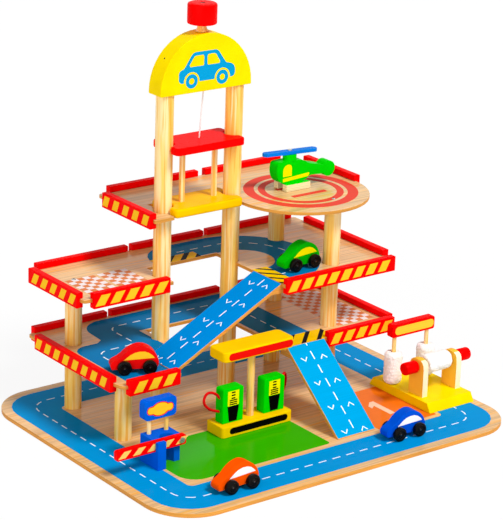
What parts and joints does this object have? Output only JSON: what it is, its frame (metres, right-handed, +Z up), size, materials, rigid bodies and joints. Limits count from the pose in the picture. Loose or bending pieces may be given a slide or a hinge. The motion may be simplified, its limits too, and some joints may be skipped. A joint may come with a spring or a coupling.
{
  "type": "toy parking garage with lift",
  "caption": "Wooden toy parking garage with decks on posts, ramps, a crank lift, a petrol station, a car wash, a ticket booth with barrier, toy cars and a helicopter.",
  "frame": {"origin": "centre of the base board's underside", "axes": "+X to the right along the front edge, +Y to the back, +Z up"},
  "size_m": [0.5114, 0.396, 0.4836],
  "materials": {
    "printed_plywood": "satin printed plywood",
    "bare_dowel": "bare sanded pine",
    "red_lacquer": "gloss lacquer on wood",
    "yellow_lacquer": "gloss lacquer on wood",
    "green_lacquer": "gloss lacquer on wood",
    "blue_lacquer": "gloss lacquer on wood",
    "orange_lacquer": "gloss lacquer on wood",
    "black_wheel": "gloss black",
    "white_fleece": "soft pile",
    "white_string": "twisted string"
  },
  "bodies": {
    "garage": {"base_board": "printed_plywood", "deck_1": "printed_plywood", "deck_2": "printed_plywood", "deck_3": "printed_plywood", "post_back_left": "bare_dowel", "post_front_left": "bare_dowel", "post_back_right": "bare_dowel", "post_front_right": "bare_dowel", "tower_post_left": "bare_dowel", "tower_post_right": "bare_dowel", "rail_1_left": "red_lacquer", "rail_1_front_left": "red_lacquer", "rail_1_front_right": "red_lacquer", "rail_1_right": "red_lacquer", "rail_1_back_1": "red_lacquer", "rail_1_back_2": "red_lacquer", "rail_1_back_3": "red_lacquer", "rail_2_left": "red_lacquer", "rail_2_front_left": "red_lacquer", "rail_2_front_right": "red_lacquer", "rail_2_right": "red_lacquer", "rail_2_back_1": "red_lacquer", "rail_2_back_2": "red_lacquer", "rail_2_back_3": "red_lacquer", "rail_3_left": "red_lacquer", "rail_3_right": "red_lacquer", "rail_3_back_1": "red_lacquer", "rail_3_back_2": "red_lacquer", "tower_arch": "yellow_lacquer", "lift_string": "white_string", "ramp_upper": "printed_plywood", "ramp_lower": "printed_plywood", "petrol_block": "yellow_lacquer", "petrol_pump_left": "green_lacquer", "petrol_pump_right": "green_lacquer", "petrol_roof": "yellow_lacquer", "wash_plate": "yellow_lacquer", "wash_sign": "red_lacquer", "ticket_booth": "blue_lacquer"},
    "lift": {"lift_canopy": "red_lacquer", "lift_platform": "yellow_lacquer"},
    "crank": {"crank_knob": "red_lacquer"},
    "barrier": {"barrier_arm": "red_lacquer"},
    "wash_roller": {"wash_roller": "white_fleece"},
    "wash_brush_left": {"wash_brush_left": "white_fleece"},
    "wash_brush_right": {"wash_brush_right": "white_fleece"},
    "helicopter": {"helicopter": "green_lacquer"},
    "rotor": {"helicopter_rotor": "blue_lacquer"},
    "orange_car": {"orange_car": "orange_lacquer"},
    "orange_car_front_wheels": {"orange_car_front_wheels": "black_wheel"},
    "orange_car_rear_wheels": {"orange_car_rear_wheels": "black_wheel"},
    "blue_car": {"blue_car": "blue_lacquer"},
    "blue_car_front_wheels": {"blue_car_front_wheels": "black_wheel"},
    "blue_car_rear_wheels": {"blue_car_rear_wheels": "black_wheel"},
    "red_car": {"red_car": "red_lacquer"},
    "red_car_front_wheels": {"red_car_front_wheels": "black_wheel"},
    "red_car_rear_wheels": {"red_car_rear_wheels": "black_wheel"},
    "green_car": {"green_car": "green_lacquer"},
    "green_car_front_wheels": {"green_car_front_wheels": "black_wheel"},
    "green_car_rear_wheels": {"green_car_rear_wheels": "black_wheel"}
  },
  "joints": [
    {"name": "lift_slide", "type": "slide", "parent": "garage", "child": "lift", "axis": [0, 0, 1], "range_m": [-0.2342, 0.055], "deforming": ["lift_string"]},
    {"name": "crank_turn", "type": "hinge", "parent": "garage", "child": "crank", "pos_m": [-0.0255, 0.085, 0.42], "axis": [0, 0, 1], "continuous": true},
    {"name": "barrier_lift", "type": "hinge", "parent": "garage", "child": "barrier", "pos_m": [-0.155, -0.0713, 0.0323], "axis": [0, 1, 0], "range_deg": [0, 85]},
    {"name": "wash_roller_spin", "type": "hinge", "parent": "garage", "child": "wash_roller", "pos_m": [0.2106, -0.08545, 0.0525], "axis": [1, 0, 0], "continuous": true},
    {"name": "wash_brush_left_spin", "type": "hinge", "parent": "garage", "child": "wash_brush_left", "pos_m": [0.18085, -0.04195, 0.035], "axis": [0, 0, 1], "continuous": true},
    {"name": "wash_brush_right_spin", "type": "hinge", "parent": "garage", "child": "wash_brush_right", "pos_m": [0.23235, -0.04195, 0.035], "axis": [0, 0, 1], "continuous": true},
    {"name": "helicopter_lift_off", "type": "slide", "parent": "garage", "child": "helicopter", "axis": [0, 0, 1], "range_m": [0, 0.12]},
    {"name": "rotor_spin", "type": "hinge", "parent": "helicopter", "child": "rotor", "pos_m": [0.10525, 0.0795, 0.2885], "axis": [0, 0, 1], "continuous": true},
    {"name": "orange_car_roll", "type": "slide", "parent": "garage", "child": "orange_car", "axis": [-0.9999, -0.0105, 0], "range_m": [-0.08, 0.05]},
    {"name": "orange_front_wheels_spin", "type": "hinge", "parent": "orange_car", "child": "orange_car_front_wheels", "pos_m": [-0.15835, -0.1622, 0.0136], "axis": [-0.0105, 0.9999, 0], "continuous": true},
    {"name": "orange_rear_wheels_spin", "type": "hinge", "parent": "orange_car", "child": "orange_car_rear_wheels", "pos_m": [-0.12935, -0.1619, 0.0136], "axis": [-0.0105, 0.9999, 0], "continuous": true},
    {"name": "blue_car_roll", "type": "slide", "parent": "garage", "child": "blue_car", "axis": [-0.9993, 0.0384, 0], "range_m": [-0.06, 0.08]},
    {"name": "blue_front_wheels_spin", "type": "hinge", "parent": "blue_car", "child": "blue_car_front_wheels", "pos_m": [0.09061, -0.15194, 0.0136], "axis": [0.0384, 0.9993, 0], "continuous": true},
    {"name": "blue_rear_wheels_spin", "type": "hinge", "parent": "blue_car", "child": "blue_car_rear_wheels", "pos_m": [0.11959, -0.15306, 0.0136], "axis": [0.0384, 0.9993, 0], "continuous": true},
    {"name": "red_car_roll", "type": "slide", "parent": "garage", "child": "red_car", "axis": [-0.9078, 0.4195, 0], "range_m": [-0.005, 0.005]},
    {"name": "red_front_wheels_spin", "type": "hinge", "parent": "red_car", "child": "red_car_front_wheels", "pos_m": [-0.17226, 0.01898, 0.0946], "axis": [0.4195, 0.9078, 0], "continuous": true},
    {"name": "red_rear_wheels_spin", "type": "hinge", "parent": "red_car", "child": "red_car_rear_wheels", "pos_m": [-0.14594, 0.00682, 0.0946], "axis": [0.4195, 0.9078, 0], "continuous": true},
    {"name": "green_car_roll", "type": "slide", "parent": "garage", "child": "green_car", "axis": [-0.999, -0.0454, 0], "range_m": [-0.005, 0.02]},
    {"name": "green_front_wheels_spin", "type": "hinge", "parent": "green_car", "child": "green_car_front_wheels", "pos_m": [0.06492, 0.02014, 0.1731], "axis": [-0.0454, 0.999, 0], "continuous": true},
    {"name": "green_rear_wheels_spin", "type": "hinge", "parent": "green_car", "child": "green_car_rear_wheels", "pos_m": [0.09388, 0.02146, 0.1731], "axis": [-0.0454, 0.999, 0], "continuous": true}
  ],
  "couplings": [
    {"joint": "crank_turn", "follows": "lift_slide", "rad_per_m": 188.7},
    {"joint": "orange_front_wheels_spin", "follows": "orange_car_roll", "rad_per_m": -120.48},
    {"joint": "orange_rear_wheels_spin", "follows": "orange_car_roll", "rad_per_m": -120.48},
    {"joint": "blue_front_wheels_spin", "follows": "blue_car_roll", "rad_per_m": -120.48},
    {"joint": "blue_rear_wheels_spin", "follows": "blue_car_roll", "rad_per_m": -120.48},
    {"joint": "red_front_wheels_spin", "follows": "red_car_roll", "rad_per_m": -120.48},
    {"joint": "red_rear_wheels_spin", "follows": "red_car_roll", "rad_per_m": -120.48},
    {"joint": "green_front_wheels_spin", "follows": "green_car_roll", "rad_per_m": -120.48},
    {"joint": "green_rear_wheels_spin", "follows": "green_car_roll", "rad_per_m": -120.48}
  ]
}
